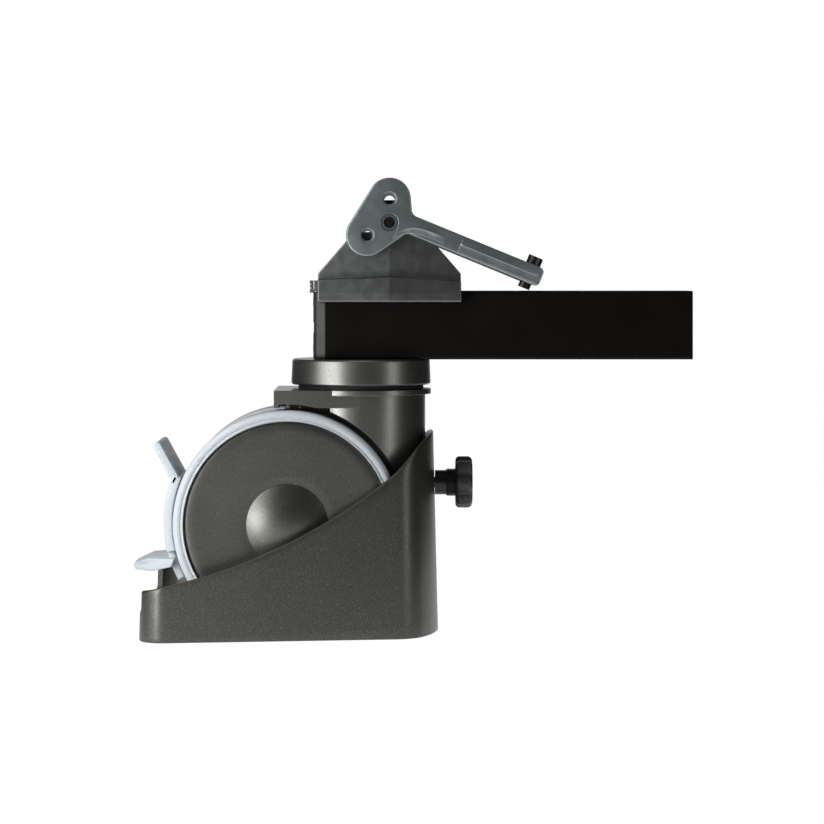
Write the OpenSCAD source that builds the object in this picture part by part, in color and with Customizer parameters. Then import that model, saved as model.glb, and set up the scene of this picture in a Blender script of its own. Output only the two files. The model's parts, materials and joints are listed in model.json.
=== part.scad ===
/* [Wheels] */
// Diameter of the twin wheels over the tread
wheel_d = 125; // [110:1:140]
// Width of one tyre
tyre_w = 25.5; // [20:0.5:28]
// Clear space between the two tyres
wheel_gap = 31; // [29:0.5:36]
// Radial thickness of the tyre
tyre_t = 9; // [6:0.5:12]
// Diameter of the satin cover disc on each wheel
cover_d = 112.4; // [90:0.2:116]
// Diameter of the domed hub cap
cap_d = 44.4; // [36:0.2:50]
// How far the hub cap bulges out of the cover disc
cap_rise = 3.6; // [1:0.2:5]
// Diameter of the fixed axle
axle_d = 12; // [8:0.5:14]
// Outer diameter of each wheel bearing
bearing_d = 28; // [22:1:32]
// Width of each wheel bearing
bearing_w = 8; // [6:0.5:9]

/* [Castor] */
// Height of the castor from the floor to its top face
castor_h = 135.7; // [128:0.1:150]
// Distance from the swivel axis back to the axle
trail = 40.3; // [30:0.5:48]
// Diameter of the round neck
neck_d = 72; // [60:1:80]
// Diameter of the thin flange round the top of the neck
flange_d = 78.4; // [74:0.2:90]
// Thickness of that flange
flange_t = 2.8; // [1:0.1:5]
// Distance from the swivel axis to the cut end of the hood
hood_reach = 47.6; // [40:0.2:60]
// Wall thickness of the hood
hood_wall = 3; // [2:0.25:5]
// Gap between the tread and the wheel arch
arch_gap = 3.2; // [1.5:0.1:6]
// Thickness of the web between the wheels
web_t = 22; // [18:0.5:26]
// Height of the underside of the neck over the floor
neck_low = 36; // [25:1:50]

/* [Swivel] */
// Diameter of the bearing disc under the arm
disc_d = 77; // [70:0.5:90]
// Thickness of the bearing disc
disc_t = 14.2; // [10:0.2:20]
// Gap between the bearing disc and the castor
swivel_gap = 2.4; // [1:0.1:4]
// Diameter of the kingpin
kingpin_d = 16; // [12:0.5:18]
// Number of balls in the thrust bearing
ball_count = 12; // [8:1:16]
// Diameter of each ball
ball_d = 5; // [4:0.25:6]
// Pitch diameter of the ball ring
ball_ring_d = 41; // [36:0.5:46]

/* [Brake] */
// Thickness of the rocker that wraps the treads
rocker_t = 4.3; // [3:0.1:6]
// Width of the rocker across both wheels
rocker_w = 56; // [46:1:70]
// Gap between the tread and the rocker
rocker_gap = 1.5; // [0.8:0.1:3]
// Angle of the rocker's upper end above the axle
rocker_up = 23; // [15:1:40]
// Angle of the rocker's lower end below the axle
rocker_down = 28; // [20:1:35]
// Length of the release lever
release_len = 21.5; // [12:0.5:30]
// Lean of the release lever from upright
release_lean = 28; // [15:1:40]
// How far the pedal stands out past the axle
pedal_reach = 87; // [80:0.2:96]
// Thickness of the pedal at its root
pedal_t = 4.5; // [3:0.1:6]
// Drop of the pedal's nose under its top
pedal_drop = 5.3; // [3:0.1:8]

/* [Cable guard] */
// Distance from the swivel axis to the guard's far end
guard_reach = 120.1; // [112:0.2:135]
// Distance from the swivel axis to the guard's near end at the floor
guard_front = 43.2; // [42:0.1:50]
// Radius of the shallow curve across the near end
guard_end_r = 80; // [60:1:120]
// Corner radius at the near end
guard_turn_r = 20; // [12:0.5:24]
// Width of the guard where the near corners start
guard_near_w = 94; // [92:0.5:104]
// Width of the guard at its far end
guard_w = 127; // [112:1:134]
// Corner radius at the far end
guard_corner_r = 13; // [6:0.5:20]
// Wall thickness of the guard
guard_wall = 2.6; // [1.5:0.1:2.8]
// Ground clearance of the guard
guard_clear = 0.7; // [0.6:0.1:5]
// Inward draft of the guard wall in degrees
guard_draft = 1.4; // [0:0.1:1.6]
// Height of the rim at the far end
rim_low = 28.3; // [20:0.5:31]
// Height of the rim at the round end
rim_high = 112.6; // [95:0.5:118]
// Radius of the sweeping rim in side view
rim_r = 296; // [150:1:600]
// Upward travel of the guard
guard_up = 3; // [0.5:0.5:4]
// Downward travel of the guard
guard_down = 0.5; // [0:0.1:0.6]

/* [Knob] */
// Height of the clamp knob over the floor
knob_z = 83; // [60:1:95]
// Diameter over the lobes
knob_d = 29.3; // [22:0.1:34]
// Thickness of the lobed head
knob_t = 9.4; // [6:0.2:14]
// Number of lobes
knob_lobes = 7; // [5:1:9]
// Diameter of the hub behind the head
hub_d = 15.2; // [11:0.2:18]
// Length of that hub
hub_l = 5.2; // [2:0.2:10]
// Diameter of the loose spacer on the stud
spacer_d = 13.7; // [10:0.1:16]
// Length of that spacer
spacer_l = 6.5; // [3:0.1:10]
// Diameter of the threaded stud
stud_d = 6; // [4:0.5:8]

/* [Arm] */
// Outer width and height of the square arm
arm_s = 38; // [32:0.5:42]
// Wall thickness of the arm
arm_wall = 2.5; // [1.5:0.25:4]
// Distance from the swivel axis to the open end of the arm
arm_reach = 184; // [140:1:300]
// Distance from the swivel axis to the capped end of the tube
arm_back = 19.7; // [17:0.1:30]
// Thickness of the end cap
cap_t = 4.8; // [3:0.1:8]
// Thickness of the plate outside the end cap
plate_t = 1.8; // [1:0.1:3]

/* [Foot clamp] */
// Length of the clamp body along the arm
body_l = 79.3; // [74:0.5:90]
// Distance from the swivel axis to the middle of the clamp body
body_x = 15.9; // [12:0.1:24]
// Width of the clamp body over its band
band_w = 58; // [50:1:66]
// How far the band reaches down over the arm
band_grip = 6.3; // [3:0.1:10]
// Height of the upright part of the band
band_h = 5.3; // [3:0.1:8]
// Height of the leaning part of the band
lean_h = 6.7; // [4:0.1:10]
// Height of the clamp body over the arm
body_h = 32.7; // [29:0.1:36]
// Height over the arm at which the end slopes start
shoulder_h = 9.6; // [8:0.1:14]
// Slope of the two ends in degrees
end_slope = 49; // [44:1:56]
// Angle by which each side face turns back from the ridge
ridge_turn = 5; // [0:0.1:6]

/* [Clamp lever] */
// Height of the lever's pivot over the arm
pivot_h = 37.9; // [36:0.1:42]
// Thickness of each side plate of the lever
fork_t = 5; // [3:0.25:7]
// Clear space between the two side plates
fork_gap = 42; // [38:0.5:46]
// Radius of the two round lobes
lobe_r = 11.7; // [9:0.1:13]
// Radius of the plain holes in the lobes
lobe_hole_r = 3; // [2:0.1:4]
// Downward slope of the handle at rest
handle_slope = 22.3; // [18:0.1:24]
// Length of the handle from the pivot
handle_l = 89.3; // [80:0.1:110]
// Depth of the handle in side view
handle_d = 10.6; // [8:0.1:13]
// Thickness of the web that joins the side plates
web_plate_t = 7; // [4:0.25:9]
// Diameter of the pivot pin
pin_d = 6; // [5:0.25:8]

/* [Fits] */
// Radial clearance of the running fits
run_gap = 0.05; // [0.02:0.01:0.09]
// Gap between surfaces that seat or pass each other
seat_gap = 0.3; // [0.2:0.05:0.4]

/* [Hidden] */
$fn = 64;

front = 1;
rear = -1;
over = 1;

paint = "#45453f";
tyre_grey = "#cdd3d8";
black = "#1b1a18";
cast_grey = "#5c605e";
lever_grey = "#646a6e";
steel = "#9a9da0";
dark_steel = "#4a4b4c";

arm_z0 = castor_h + swivel_gap + disc_t;
arm_z1 = arm_z0 + arm_s;
arm_mid = arm_z0 + arm_s / 2;

wheel_r = wheel_d / 2;
axle_x = -trail;
axle_z = wheel_r;
tyre_in = wheel_gap / 2;
tyre_out = tyre_in + tyre_w;
rim_outer = wheel_r - tyre_t;
hub_in = tyre_in + 1.5;
hub_out = hub_in + 2 * bearing_w + 4;
hub_r = bearing_d / 2 + 4;
cover_t = 2.4;
cover_out = tyre_out - 1;
cover_in = cover_out - cover_t;
cap_seat = 1.4;
cap_stem = 2;
clip_t = 1.1;
clip_out = hub_out + seat_gap + clip_t;
axle_half = clip_out + 0.8;

neck_r = neck_d / 2;
arch_r = wheel_r + arch_gap;
hood_low = axle_z + wheel_r + 1.2;
column_half = 13;
recess_r = ball_ring_d / 2 + 5.6;
race_t = 3.5;
ball_z = castor_h - 0.3;
race_low_z = ball_z - ball_d / 2 - 2.2;
race_high_z = ball_z + ball_d / 2 + 2.2;
groove_r = ball_d / 2 + run_gap;
bush_t = 3;
bush_low = castor_h - 26.7;
nut_af = 17;
nut_h = 8;
washer_t = 1.7;
nut_pocket_r = nut_af / 2 + 2.4;
plate_nut_t = 8;
screw_ring_r = 13.5;
screw_r = 2.5;

brake_x = axle_x - 47.7;
brake_z = axle_z - 0.5;
brake_arm_t = 10;
brake_boss_r = 7.6;
brake_pin_r = 3;
rocker_in = wheel_r + rocker_gap;
rocker_out = rocker_in + rocker_t;
pad_t = 0.8;
pad_from = 6;
pad_to = 13;

seat_r = 7.5;
seat_bow = seat_r * seat_r / 2 / (guard_end_r - guard_wall);
seat_out = guard_front - guard_wall - (knob_z + seat_r) * tan(guard_draft) - seat_bow - seat_gap;
guard_face_x = guard_front - knob_z * tan(guard_draft);
spacer_x = guard_face_x + seat_gap;
hub_x = spacer_x + spacer_l;
head_x = hub_x + hub_l;
insert_r = 5;
insert_l = 10;

body_x0 = body_x - body_l / 2;
body_x1 = body_x + body_l / 2;
body_z0 = arm_z1 - band_grip;
body_z1 = arm_z1 + body_h;
pivot_x = body_x;
pivot_z = arm_z1 + pivot_h;
fork_in = fork_gap / 2;
fork_out = fork_in + fork_t;
block_w = fork_gap - 2 * seat_gap;
body_top_w = fork_gap - 2 * seat_gap - 0.4;
lobe_top = [0.1, 13];
lobe_low = [-12.4, -7.1];
handle_top = 8.6;
handle_low = handle_top - handle_d;
web_from = 34;
grip_from = 42;
grip_to = handle_l - 2.2;
stop_s = handle_l - 6;
stop_r = 3.4;
stop_head_r = 4.2;
block_top = 12.4;
block_l = 18;

// Places the station so that the middle of the arm's open end is the origin
module place() {
    translate([-arm_reach, 0, -arm_mid]) children();
}

function arc(centre, r, from, to, steps) = [
    for (i = [0 : steps])
        let (a = from + (to - from) * i / steps)
        [centre[0] + r * cos(a), centre[1] + r * sin(a)]
];

// Centre of the circle of radius r through a and b, on the left of the way from a to b
function arc_centre(a, b, r) =
    let (d = b - a, half = norm(d) / 2, h = sqrt(r * r - half * half))
    (a + b) / 2 + [-d[1], d[0]] / norm(d) * h;

module ring(r_out, r_in, h) {
    difference() {
        cylinder(r = r_out, h = h);
        translate([0, 0, -over]) cylinder(r = r_in, h = h + 2 * over);
    }
}

module rounded_square(s, r) {
    square([s - 2 * r, s], center = true);
    square([s, s - 2 * r], center = true);
    for (x = [-1, 1], y = [-1, 1])
        translate([x * (s / 2 - r), y * (s / 2 - r)]) circle(r = r);
}

module rounded_rect(l, w, r) {
    square([l - 2 * r, w], center = true);
    square([l, w - 2 * r], center = true);
    for (x = [-1, 1], y = [-1, 1])
        translate([x * (l / 2 - r), y * (w / 2 - r)]) circle(r = r);
}

// Stands a side-view outline up and gives it a width across the station
module across(w) {
    rotate([90, 0, 0]) translate([0, 0, -w / 2]) linear_extrude(w) children();
}

// Turns the +Z axis outward from the castor along one half of the axle
module wheel_frame(side) {
    translate([axle_x, 0, axle_z]) rotate([90 * side, 0, 0]) children();
}

// A socket head screw with its head on z = 0 and its shank below
module socket_screw(r, l, head_r, head_h) {
    difference() {
        union() {
            translate([0, 0, -l]) cylinder(r = r, h = l + 0.1);
            cylinder(r = head_r, h = head_h);
        }
        translate([0, 0, head_h * 0.45]) cylinder(r = r * 0.62, h = head_h, $fn = 6);
    }
}

module hex_nut(af, bore_r, h) {
    difference() {
        intersection() {
            cylinder(r = af / 2 / cos(30), h = h, $fn = 6);
            rotate_extrude() polygon([[0, 0], [af / 2, 0], [af / 2 / cos(30), 0.8],
                [af / 2 / cos(30), h - 0.8], [af / 2, h], [0, h]]);
        }
        translate([0, 0, -over]) cylinder(r = bore_r, h = h + 2 * over);
    }
}

module arm_tube() {
    color(black) place()
    difference() {
        translate([-arm_back, 0, arm_mid]) rotate([90, 0, 90]) linear_extrude(arm_reach + arm_back)
            difference() {
                rounded_square(arm_s, 1.6);
                rounded_square(arm_s - 2 * arm_wall, 0.8);
            }
        translate([0, 0, arm_z0 - over])
            cylinder(r = kingpin_d / 2 + run_gap, h = arm_wall + 2 * over);
        for (a = [45 : 90 : 315])
            rotate(a) translate([screw_ring_r, 0, arm_z0 - over])
                cylinder(r = screw_r + 0.2, h = arm_wall + 2 * over);
        clamp_bolt_places() translate([0, 0, arm_z1 - arm_wall - over])
            cylinder(r = screw_r + 0.2, h = arm_wall + 2 * over);
    }
}

module arm_end_cap() {
    plug_s = arm_s - 2 * arm_wall - 0.2;
    plug_l = 4;
    rib = 2;
    color("#5d6063") place()
    difference() {
        union() {
            translate([-arm_back - cap_t, 0, arm_mid]) rotate([90, 0, 90])
                linear_extrude(cap_t) rounded_square(arm_s - 0.8, 3);
            translate([-arm_back - over, 0, arm_mid]) rotate([90, 0, 90])
                linear_extrude(over + plug_l) difference() {
                    rounded_square(plug_s, 0.8);
                    rounded_square(plug_s - 2 * rib, 0.8);
                }
        }
        translate([-over, 0, 0]) plate_screw_places()
            cylinder(r = 1.3, h = cap_t + 2 * over);
    }
}

module plate_screw_places() {
    for (y = [-1, 1], z = [-1, 1])
        translate([-arm_back - cap_t, y * arm_s * 0.34, arm_mid + z * arm_s * 0.34])
            rotate([0, 90, 0]) children();
}

module end_plate() {
    notch_h = 5.8;
    notch_w = 12;
    color(dark_steel) place()
    difference() {
        translate([-arm_back - cap_t - plate_t, 0, arm_mid]) rotate([90, 0, 90])
            linear_extrude(plate_t) rounded_square(arm_s - 1.2, 2.4);
        for (side = [-1, 1])
            translate([-arm_back - cap_t - plate_t / 2, side * (arm_s / 2), arm_mid - 1.2])
                cube([2 * plate_t, 2 * notch_w, notch_h], center = true);
        translate([-plate_t - over, 0, 0]) plate_screw_places()
            cylinder(r = 1.6, h = plate_t + 2 * over);
    }
}

module end_plate_screws() {
    head_t = 0.9;
    color(steel) place()
    translate([-plate_t - head_t, 0, 0]) plate_screw_places() {
        difference() {
            cylinder(r1 = 2.2, r2 = 2.7, h = head_t);
            translate([0, 0, -over]) cylinder(r = 1, h = over + 0.5, $fn = 6);
        }
        cylinder(r = 1.25, h = head_t + plate_t + cap_t - 0.2);
    }
}

module plate_hook() {
    hook_w = 16;
    hook_x = -arm_back - cap_t - plate_t - 2.2;
    groove = 0.7;
    color(dark_steel) place()
    difference() {
        translate([hook_x, -hook_w / 2, arm_z1 - 1.1])
            cube([body_x0 - hook_x, hook_w, band_h + lean_h - band_grip + 1.2]);
        for (z = [1.2, 3.2])
            translate([hook_x - over, -hook_w, arm_z1 + z]) cube([over + 0.6, 2 * hook_w, groove]);
        translate([-arm_back - cap_t - plate_t, -hook_w, arm_z1 - 1.1 - over])
            cube([plate_t + cap_t + over, 2 * hook_w, over + 1.1 - seat_gap]);
        translate([hook_x + 1.7, -hook_w, arm_z1 + 0.7])
            cube([groove, 2 * hook_w, band_h + lean_h]);
    }
}

module bearing_disc() {
    edge = 0.8;
    r = disc_d / 2;
    foot = 0.5;
    color(paint) place()
    difference() {
        translate([0, 0, castor_h + swivel_gap]) rotate_extrude($fn = 96) polygon([
            [0, 0], [r + foot - edge, 0], [r + foot, edge], [r + foot, 2 * edge],
            [r, disc_t - edge], [r - edge, disc_t], [0, disc_t]]);
        translate([0, 0, castor_h]) cylinder(r = recess_r, h = race_high_z - castor_h);
        translate([0, 0, castor_h]) cylinder(r = kingpin_d / 2 + run_gap, h = disc_t + swivel_gap + over);
        for (a = [45 : 90 : 315])
            rotate(a) translate([screw_ring_r, 0, castor_h])
                cylinder(r = screw_r + 0.2, h = disc_t + swivel_gap + over);
        for (a = [45 : 90 : 315])
            rotate(a) translate([screw_ring_r, 0, race_high_z - over])
                cylinder(r = 4.9, h = over + 4.3);
    }
}

module nut_plate() {
    color(steel) place()
    difference() {
        translate([0, 0, arm_z0 + arm_wall]) linear_extrude(plate_nut_t)
            rounded_rect(2 * arm_back - 9, arm_s - 2 * arm_wall - 2.4, 2);
        translate([0, 0, arm_z0]) cylinder(r = kingpin_d / 2 + run_gap, h = 4 * plate_nut_t);
        for (a = [45 : 90 : 315])
            rotate(a) translate([screw_ring_r, 0, arm_z0]) cylinder(r = screw_r + run_gap, h = 4 * plate_nut_t);
    }
}

module disc_screws() {
    head_z = race_high_z + 4.1;
    color(dark_steel) place()
    for (a = [45 : 90 : 315])
        rotate(a) translate([screw_ring_r, 0, head_z]) rotate([180, 0, 0])
            socket_screw(screw_r, arm_z0 + arm_wall + plate_nut_t - head_z - 0.5, 4.5, 3.8);
}

module kingpin() {
    head_h = 6;
    r = kingpin_d / 2;
    shoulder = bush_low - seat_gap;
    head_z = arm_z0 + arm_wall + plate_nut_t;
    color(steel) place() {
        translate([0, 0, head_z]) intersection() {
            cylinder(r = 12 / cos(30), h = head_h, $fn = 6);
            rotate_extrude() polygon([[0, 0], [12 / cos(30), 0], [12 / cos(30), head_h - 1], [11.6, head_h],
                [0, head_h]]);
        }
        translate([0, 0, shoulder]) cylinder(r = r, h = head_z - shoulder + 0.1);
        translate([0, 0, shoulder - washer_t - nut_h - 3]) cylinder(r = r - 2.5, h = washer_t + nut_h + 3.1);
    }
}

module kingpin_washer() {
    color(steel) place()
        translate([0, 0, bush_low - seat_gap - washer_t]) ring(nut_pocket_r - 0.6, kingpin_d / 2 - 2.5 + run_gap, washer_t);
}

module kingpin_nut() {
    color(steel) place()
        translate([0, 0, bush_low - seat_gap - washer_t - nut_h])
            hex_nut(nut_af, kingpin_d / 2 - 2.5 + run_gap, nut_h);
}

// One bearing race, grooved on its upper side at the height of the ball centres
module race(groove_z) {
    inner = ball_ring_d / 2 - 5.5;
    outer = ball_ring_d / 2 + 5.5;
    difference() {
        ring(outer, inner, race_t);
        rotate_extrude() translate([ball_ring_d / 2, groove_z]) circle(r = groove_r);
    }
}

module race_upper() {
    color(steel) place() translate([0, 0, race_high_z]) rotate([180, 0, 0]) race(race_high_z - ball_z);
}

module race_lower() {
    color(steel) place() translate([0, 0, race_low_z]) race(ball_z - race_low_z);
}

module thrust_balls() {
    color("silver") place()
    for (i = [0 : ball_count - 1])
        rotate(i * 360 / ball_count) translate([ball_ring_d / 2, 0, ball_z]) sphere(d = ball_d);
}

module dust_ring() {
    color(black) place()
        translate([0, 0, castor_h + seat_gap]) ring(neck_r - 1, recess_r + 3, swivel_gap - seat_gap);
}

module body_side() {
    drop = (body_h - shoulder_h) / tan(end_slope);
    polygon([
        [body_x0, body_z0], [body_x1, body_z0], [body_x1, arm_z1 + shoulder_h],
        [body_x1 - drop, body_z1], [body_x0 + drop, body_z1], [body_x0, arm_z1 + shoulder_h]]);
}

module body_section() {
    half = band_w / 2;
    top = body_top_w / 2;
    shelf_z = body_z0 + band_h + lean_h;
    polygon([
        [-half + 0.6, body_z0], [half - 0.6, body_z0], [half, body_z0 + 0.6],
        [half, body_z0 + band_h], [half - 1.5, shelf_z], [half - 2.1, shelf_z + 0.6],
        [top + 0.3, shelf_z + 1.2], [top, shelf_z + 2], [top, body_z1 + over],
        [-top, body_z1 + over], [-top, shelf_z + 2], [-top - 0.3, shelf_z + 1.2],
        [-half + 2.1, shelf_z + 0.6], [-half + 1.5, shelf_z], [-half, body_z0 + band_h],
        [-half, body_z0 + 0.6]]);
}

module clamp_bolt_places() {
    for (x = [-1, 1])
        translate([body_x + x * (block_l / 2 + 12), 0, 0]) children();
}

module clamp_body() {
    well = 8;
    color(cast_grey) place()
    difference() {
        intersection() {
            across(band_w + 10) body_side();
            intersection_for (turn = [-1, 1])
                translate([body_x, 0, 0]) rotate(turn * ridge_turn) translate([-body_l, 0, 0])
                    rotate([90, 0, 90]) linear_extrude(2 * body_l) body_section();
        }
        translate([body_x - body_l, -arm_s / 2 - 0.1, body_z0 - over])
            cube([2 * body_l, arm_s + 0.2, band_grip + over]);
        translate([pivot_x - block_l / 2 - 0.1, -block_w / 2 + 4.9, body_z1 - well])
            cube([block_l + 0.2, block_w - 9.8, well + over]);
        clamp_bolt_places() translate([0, 0, arm_z1 - over]) cylinder(r = screw_r + run_gap, h = 16);
        for (x = [-1, 1])
            translate([pivot_x + x * block_l * 0.3, 0, body_z1 - well - 9]) cylinder(r = 1.7, h = 10);
    }
}

module clamp_bolts() {
    color(dark_steel) place()
    clamp_bolt_places() translate([0, 0, arm_z1 - arm_wall - 0.1]) rotate([180, 0, 0])
        socket_screw(screw_r, 14, 4.4, 4.5);
}

module pivot_block() {
    well = 8;
    r = 3;
    half = block_l / 2;
    color(black) place()
    difference() {
        union() {
            translate([pivot_x, 0, pivot_z]) across(block_w) polygon(concat(
                [[-half, body_z1 - pivot_z], [half, body_z1 - pivot_z]],
                arc([half - r, block_top - r], r, 0, 90, 8),
                arc([-half + r, block_top - r], r, 90, 180, 8)));
            translate([pivot_x - half, -block_w / 2 + 5, body_z1 - well + 0.1])
                cube([block_l, block_w - 10, well + over]);
        }
        translate([pivot_x, 0, pivot_z]) rotate([90, 0, 0]) cylinder(r = pin_d / 2 + 0.02, h = 2 * block_w, center = true);
        for (x = [-1, 1]) translate([pivot_x + x * block_l * 0.3, 0, 0]) {
            translate([0, 0, body_z1 - 2 * well]) cylinder(r = 1.8, h = 4 * well);
            translate([0, 0, pivot_z + block_top - 3.2]) cylinder(r = 3.2, h = 2 * well);
        }
    }
}

module block_screws() {
    color(steel) place()
    for (x = [-1, 1])
        translate([pivot_x + x * block_l * 0.3, 0, pivot_z + block_top - 3])
            socket_screw(1.5, pivot_z + block_top - 3 - body_z1 + 16, 2.9, 2.6);
}

module pivot_pin() {
    recess = 1.1;
    color(dark_steel) place()
    translate([pivot_x, 0, pivot_z]) rotate([90, 0, 0])
        cylinder(r = pin_d / 2, h = 2 * (fork_out - recess), center = true);
}

module lever_frame() {
    translate([pivot_x, 0, pivot_z]) children();
}

function along(s, t) = [s * cos(handle_slope) + t * sin(handle_slope),
    -s * sin(handle_slope) + t * cos(handle_slope)];

// Centre of the fillet between the line that leaves a lobe at an angle and a line of the handle at t
function fillet_centre(lobe, angle, r, t) = along(
    (lobe_r + r + lobe[0] * cos(angle) + lobe[1] * sin(angle) - t * sin(handle_slope + angle))
        / cos(handle_slope + angle), t);

// Side view of one side plate: two round lobes that run into the handle
module yoke_side() {
    left = atan2(lobe_top[1] - lobe_low[1], lobe_top[0] - lobe_low[0]) + 90;
    cheek = 5;
    belly = -55;
    neck = 4.5;
    heel = 3;
    tip_r = 2.6;
    polygon(concat(
        arc(lobe_top, lobe_r, left, cheek, 26),
        arc(fillet_centre(lobe_top, cheek, neck, handle_top + neck), neck, 180 + cheek, 270 - handle_slope, 8),
        arc(along(handle_l - tip_r, handle_top - tip_r), tip_r, 90 - handle_slope, -handle_slope, 6),
        arc(along(handle_l - tip_r, handle_low + tip_r), tip_r, -handle_slope, -90 - handle_slope, 6),
        arc(fillet_centre(lobe_low, belly, heel, handle_low - heel), heel, 90 - handle_slope, 180 + belly, 6),
        arc(lobe_low, lobe_r, belly, -360 + left, 28)));
}

// Section of one side of the handle: it stands out to a keel along its middle
module grip_section() {
    keel_t = handle_low + handle_d * 0.53;
    keel_out = 0.8;
    polygon([
        [fork_in, handle_low], [fork_out - 0.5, handle_low], [fork_out + keel_out, keel_t],
        [fork_out - 0.3, handle_top], [fork_in, handle_top]]);
}

module yoke_plate(side) {
    bevel = 0.9;
    hole_list = [lobe_top, lobe_low];
    rotate([90 * side, 0, 0]) mirror([0, side > 0 ? 0 : 1, 0]) difference() {
        translate([0, 0, fork_in]) linear_extrude(fork_t) yoke_side();
        for (p = hole_list) translate([p[0], p[1], fork_in - over]) {
            cylinder(r = lobe_hole_r, h = fork_t + 2 * over);
            translate([0, 0, over + fork_t - bevel])
                cylinder(r1 = lobe_hole_r, r2 = lobe_hole_r + bevel + 0.1, h = bevel + 0.1);
        }
        translate([0, 0, fork_in - over]) {
            cylinder(r = pin_d / 2 + 1.5, h = fork_t + 2 * over);
        }
    }
}

module lever_yoke() {
    color(lever_grey) place() lever_frame() difference() {
        union() {
            yoke_plate(front);
            yoke_plate(rear);
            for (side = [0, 1]) mirror([0, side, 0]) rotate([0, handle_slope, 0])
                translate([grip_from, 0, 0]) rotate([90, 0, 90]) linear_extrude(grip_to - grip_from) grip_section();
            rotate([0, handle_slope, 0]) translate([web_from, -fork_in - 0.5, handle_low + 2])
                cube([handle_l - web_from - 0.6, fork_gap + 1, web_plate_t]);
        }
        rotate([0, handle_slope, 0]) translate([stop_s, 0, handle_low]) {
            cylinder(r = 2.55, h = 4 * handle_d, center = true);
        }
        rotate([0, handle_slope, 0]) translate([(web_from + stop_s) / 2 - 4, 0, handle_low + 2 + web_plate_t])
            for (y = [-1 : 1]) translate([0, y * fork_gap * 0.3, 0])
                cube([stop_s - web_from - 22, fork_gap * 0.22, 2.4], center = true);
    }
}

module lever_bushes() {
    color("#2a2724") place() lever_frame()
    for (side = [front, rear]) rotate([90 * side, 0, 0])
        translate([0, 0, fork_in]) ring(pin_d / 2 + 1.47, pin_d / 2 + run_gap, fork_t - 0.3);
}

module stop_bolt() {
    head_h = 6.7;
    collar_h = 1.6;
    color(dark_steel) place() lever_frame() rotate([0, handle_slope, 0])
    translate([stop_s, 0, handle_low + 2 + web_plate_t]) {
        cylinder(r = stop_head_r + 0.8, h = collar_h);
        translate([0, 0, collar_h - 0.1]) cylinder(r = stop_head_r, h = head_h - collar_h + 0.1);
        translate([0, 0, -web_plate_t - 3.4]) cylinder(r = 2.5, h = web_plate_t + 3.5);
    }
}

module stop_nut() {
    web_low = handle_low + 2;
    reach = (arm_z1 + seat_gap - pivot_z + (stop_s + stop_r) * sin(handle_slope)) / cos(handle_slope);
    color(dark_steel) place() lever_frame() rotate([0, handle_slope, 0])
    translate([stop_s, 0, reach]) difference() {
        cylinder(r = stop_r, h = web_low - reach);
        translate([0, 0, 1.2]) cylinder(r = 2.5 + run_gap, h = web_low - reach);
    }
}

// Side view of the web that carries the axle and the brake pivot
module web_side() {
    boss = brake_boss_r + 1.4;
    polygon([
        [0, neck_low], [axle_x + 6, axle_z - 14], [brake_x, brake_z - boss], [brake_x, brake_z + boss],
        [axle_x - 10, axle_z + 22], [-hood_reach + 6, hood_low + 3], [0, hood_low + 3]]);
    translate([axle_x, axle_z]) circle(r = 15);
    translate([brake_x, brake_z]) circle(r = boss);
}

module hood_block(low) {
    r = 6;
    translate([-hood_reach, 0, 0]) linear_extrude(castor_h - low) {
        translate([0, -neck_r]) square([hood_reach, neck_d]);
    }
}

module castor_housing() {
    rib = 1.8;
    pocket_top = castor_h - hood_wall;
    slot_w = brake_arm_t + 0.8;
    color(paint) place() {
        difference() {
            union() {
                translate([0, 0, neck_low]) cylinder(r = neck_r, h = castor_h - neck_low, $fn = 96);
                translate([0, 0, castor_h - flange_t]) cylinder(d = flange_d, h = flange_t, $fn = 96);
                translate([0, 0, hood_low]) hood_block(hood_low);
                across(web_t) web_side();
                translate([neck_r - 6, 0, knob_z]) rotate([0, 90, 0]) cylinder(r = seat_r, h = seat_out - neck_r + 6);
            }
            for (side = [front, rear]) {
                wheel_frame(side) translate([0, 0, column_half]) cylinder(r = arch_r, h = neck_d, $fn = 128);
                translate([-hood_reach + hood_wall, side > 0 ? -neck_r + hood_wall : column_half + 2, hood_low - 20])
                    cube([hood_reach - neck_r * 0.55, neck_r - column_half - 2 - hood_wall, pocket_top - hood_low + 20]);
            }
            translate([0, 0, race_low_z]) cylinder(r = recess_r, h = castor_h);
            translate([0, 0, neck_low]) cylinder(r = kingpin_d / 2 + bush_t, h = castor_h);
            translate([0, 0, neck_low - over]) cylinder(r = nut_pocket_r, h = bush_low - neck_low + over);
            wheel_frame(front) cylinder(r = axle_d / 2 + 0.02, h = 2 * neck_d, center = true);
            translate([brake_x, 0, brake_z]) rotate([90, 0, 0]) cylinder(r = brake_pin_r + 0.02, h = neck_d, center = true);
            translate([brake_x - 20, -slot_w / 2, brake_z - 30]) cube([20 + brake_boss_r + 2.2, slot_w, 60]);
            translate([0, 0, knob_z]) rotate([0, 90, 0]) cylinder(r = stud_d / 2 + 0.3, h = neck_d);
            translate([seat_out - insert_l - 1, 0, knob_z]) rotate([0, 90, 0]) cylinder(r = insert_r + 0.02, h = neck_d);
        }
        translate([-hood_reach, -neck_r, hood_low]) cube([hood_wall, neck_d, castor_h - hood_low]);
        for (side = [-1, 1], x = [-hood_reach + 7, -hood_reach + 19])
            translate([x, side * (neck_r - 5) - 5, hood_low + (x > -hood_reach + 8 ? 1.4 : 0)])
                cube([rib, 10, castor_h - hood_low - 2]);
    }
}

module stem_bush() {
    color("#8a6d3b") place()
        translate([0, 0, bush_low]) ring(kingpin_d / 2 + bush_t - 0.02, kingpin_d / 2 + run_gap, race_low_z - bush_low);
}

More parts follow.
